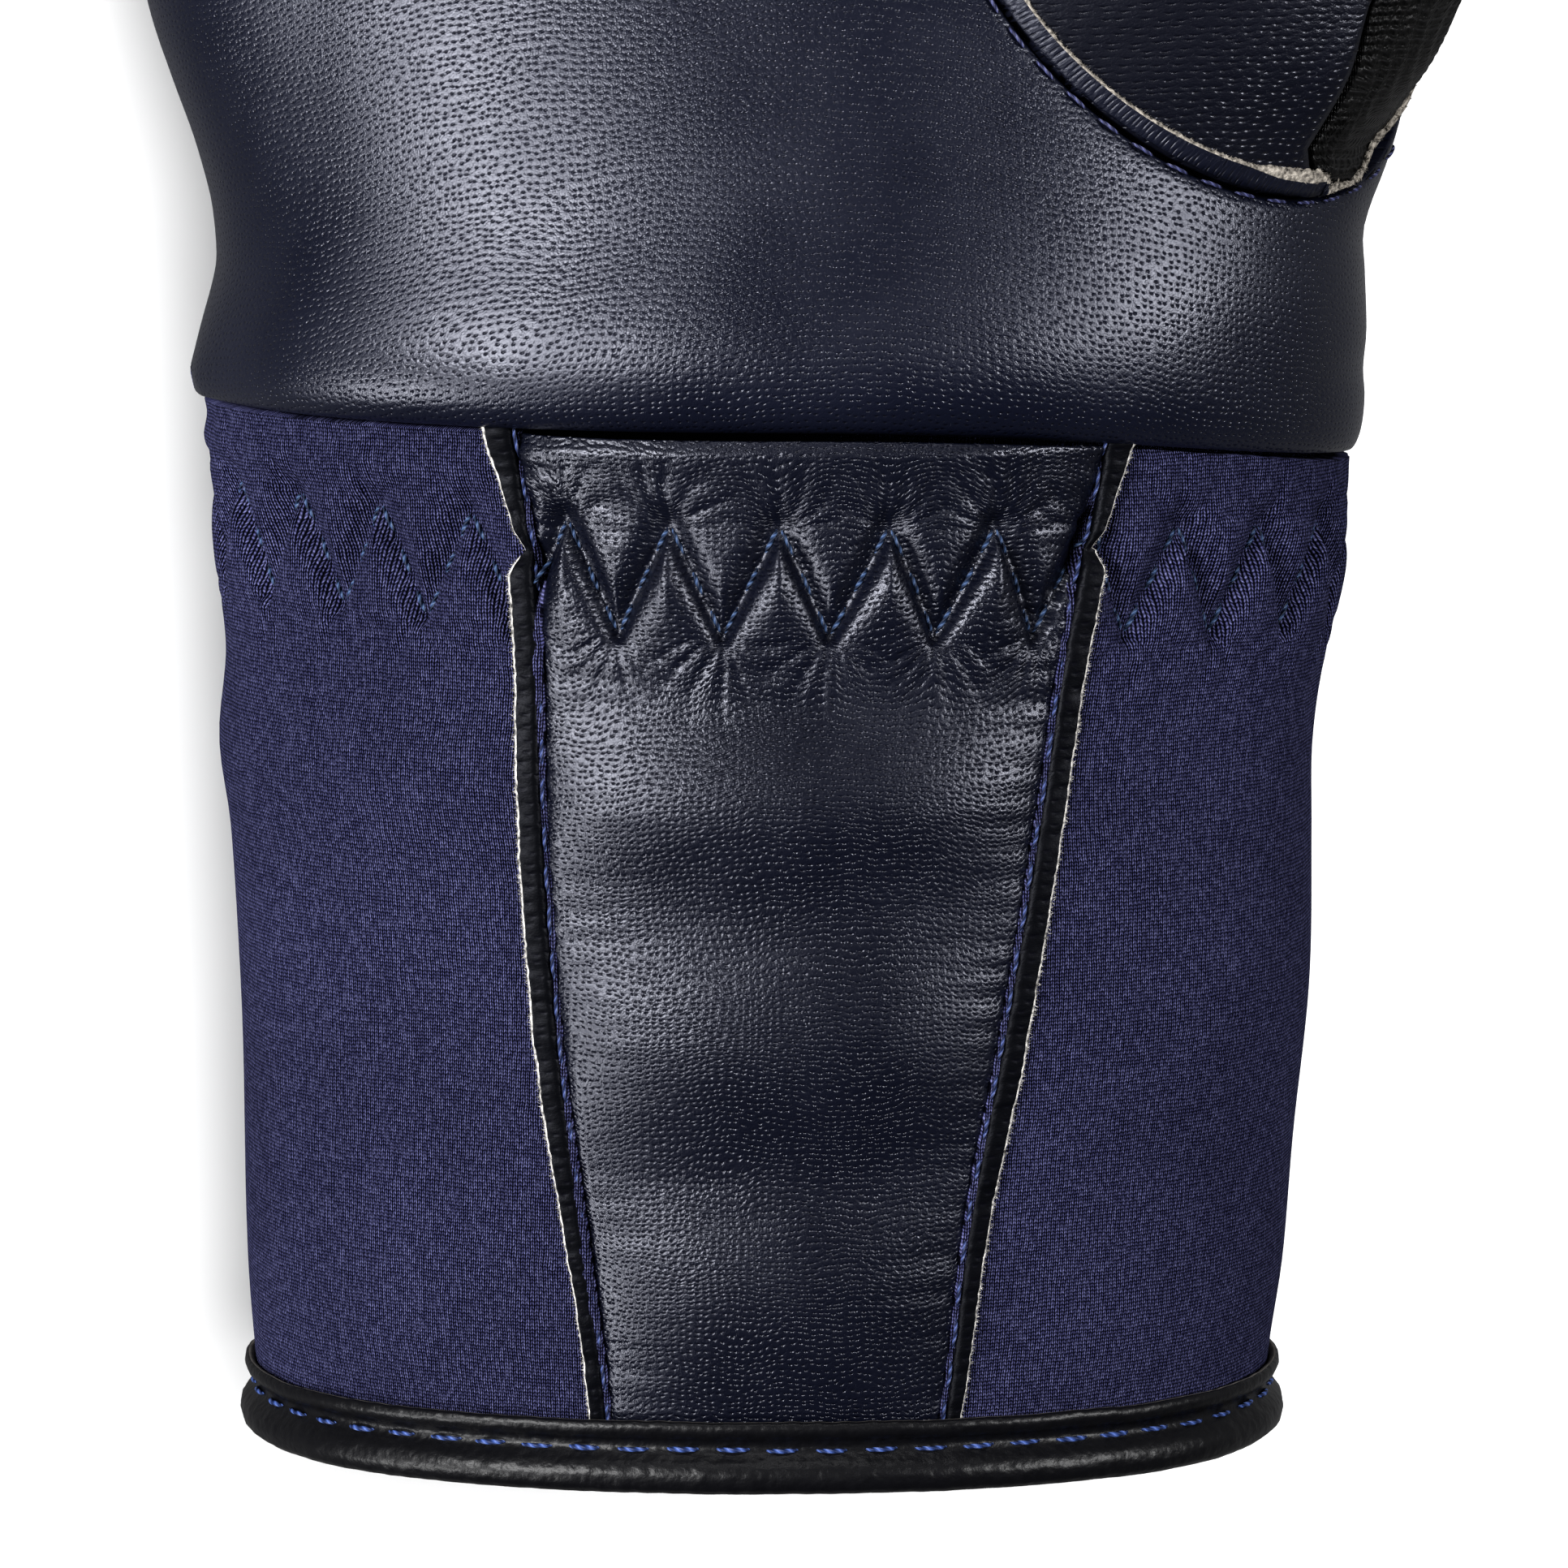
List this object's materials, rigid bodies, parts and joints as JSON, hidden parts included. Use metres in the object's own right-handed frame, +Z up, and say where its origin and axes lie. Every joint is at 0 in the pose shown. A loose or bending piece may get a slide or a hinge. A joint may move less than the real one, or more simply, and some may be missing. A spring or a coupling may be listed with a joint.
{
  "type": "horse riding glove",
  "caption": "Right-hand riding glove with a leather palm, knitted back and long knitted cuff, shown palm up and hollow for a hand.",
  "frame": {"origin": "on the table it lies on, under the middle of the glove seen from above", "axes": "+X towards the thumb, +Y from the hem of the cuff to the fingertips, +Z up from the table out of the palm"},
  "size_m": [0.135, 0.2386, 0.0453],
  "materials": {
    "leather": "fine-grained navy-black leather with a soft shine",
    "knit": "fine matt navy stretch knit",
    "rib": "matt black ribbed stretch knit",
    "binding": "smooth black-navy leather binding"
  },
  "bodies": {
    "root": {"palm_panel": "leather", "back_panel": "knit", "fourchette_little_ring": "rib", "fourchette_ring_middle": "rib", "fourchette_middle_index": "rib", "thumb_leather": "leather", "thumb_gusset": "rib", "thumb_seam_flange": "leather", "cuff_inset": "leather", "cuff_knit": "knit", "cuff_flange_left": "leather", "cuff_flange_right": "leather", "hem_binding": "binding"}
  },
  "joints": []
}
